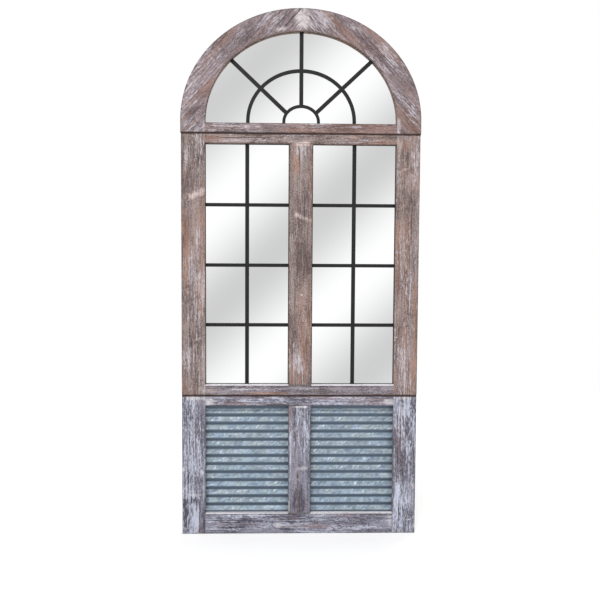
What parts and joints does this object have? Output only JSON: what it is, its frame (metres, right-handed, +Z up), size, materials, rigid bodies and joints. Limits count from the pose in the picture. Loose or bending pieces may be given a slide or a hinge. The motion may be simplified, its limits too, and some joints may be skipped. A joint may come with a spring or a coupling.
{
  "type": "arched window mirror",
  "caption": "Wall-hung arched window mirror: weathered wood frames with a fan grille over a half-round mirror, paned tall mirrors and corrugated steel panels below.",
  "frame": {"origin": "on the back face of the middle frame's centre stile, midway between the two ring hangers, level with the rings' hinge axis", "axes": "+X to the viewer's right, +Y out of the back towards the wall, +Z up; the viewer stands on the -Y side"},
  "size_m": [0.817, 0.037, 1.801],
  "materials": {
    "arch_wood": "weathered brown-grey wood, thin whitewash",
    "frame_wood": "weathered grey-brown wood, thin whitewash",
    "whitewashed_wood": "weathered wood, heavier bluish whitewash",
    "dowel_beech": "plain beech",
    "black_bar": "satin black paint",
    "silvered_glass": "polished mirror",
    "hardboard": "brown hardboard",
    "galvanised_sheet": "hot-dip galvanised, spangled",
    "zinc_plate": "bright zinc plate",
    "ring_steel": "nickel-plated steel wire",
    "bumper_rubber": "matte black rubber"
  },
  "bodies": {
    "mirror_frame": {"arch_left_board": "arch_wood", "arch_right_board": "arch_wood", "arch_rail": "arch_wood", "middle_left_stile": "frame_wood", "middle_right_stile": "frame_wood", "middle_centre_stile": "frame_wood", "middle_top_rail": "frame_wood", "middle_bottom_rail": "frame_wood", "lower_left_stile": "whitewashed_wood", "lower_right_stile": "whitewashed_wood", "lower_centre_stile": "whitewashed_wood", "lower_top_rail": "whitewashed_wood", "lower_bottom_rail": "whitewashed_wood", "arch_dowels": "dowel_beech", "middle_frame_dowels": "dowel_beech", "lower_frame_dowels": "dowel_beech", "fan_rim": "black_bar", "fan_sill_bar": "black_bar", "fan_centre_spoke": "black_bar", "fan_left_spoke": "black_bar", "fan_right_spoke": "black_bar", "fan_outer_hoop": "black_bar", "fan_inner_hoop": "black_bar", "left_window_uprights": "black_bar", "left_window_crossbars": "black_bar", "right_window_uprights": "black_bar", "right_window_crossbars": "black_bar", "arch_mirror": "silvered_glass", "left_mirror": "silvered_glass", "right_mirror": "silvered_glass", "arch_backing_board": "hardboard", "left_backing_board": "hardboard", "right_backing_board": "hardboard", "left_panel_backing": "hardboard", "right_panel_backing": "hardboard", "left_corrugated_panel": "galvanised_sheet", "right_corrugated_panel": "galvanised_sheet", "arch_glazing_points": "zinc_plate", "window_glazing_points": "zinc_plate", "panel_glazing_points": "zinc_plate", "upper_seam_plates": "zinc_plate", "lower_seam_plates": "zinc_plate", "seam_plate_screws": "zinc_plate", "left_hanger_strap": "zinc_plate", "right_hanger_strap": "zinc_plate", "hanger_screws": "zinc_plate", "wall_bumpers": "bumper_rubber"},
    "left_ring": {"left_hanger_ring": "ring_steel"},
    "right_ring": {"right_hanger_ring": "ring_steel"}
  },
  "joints": [
    {"name": "left_ring_hinge", "type": "hinge", "parent": "mirror_frame", "child": "left_ring", "pos_m": [-0.3665, 0.00318, 0], "axis": [1, 0, 0], "range_deg": [0, 180]},
    {"name": "right_ring_hinge", "type": "hinge", "parent": "mirror_frame", "child": "right_ring", "pos_m": [0.3665, 0.00318, 0], "axis": [1, 0, 0], "range_deg": [0, 180]}
  ]
}
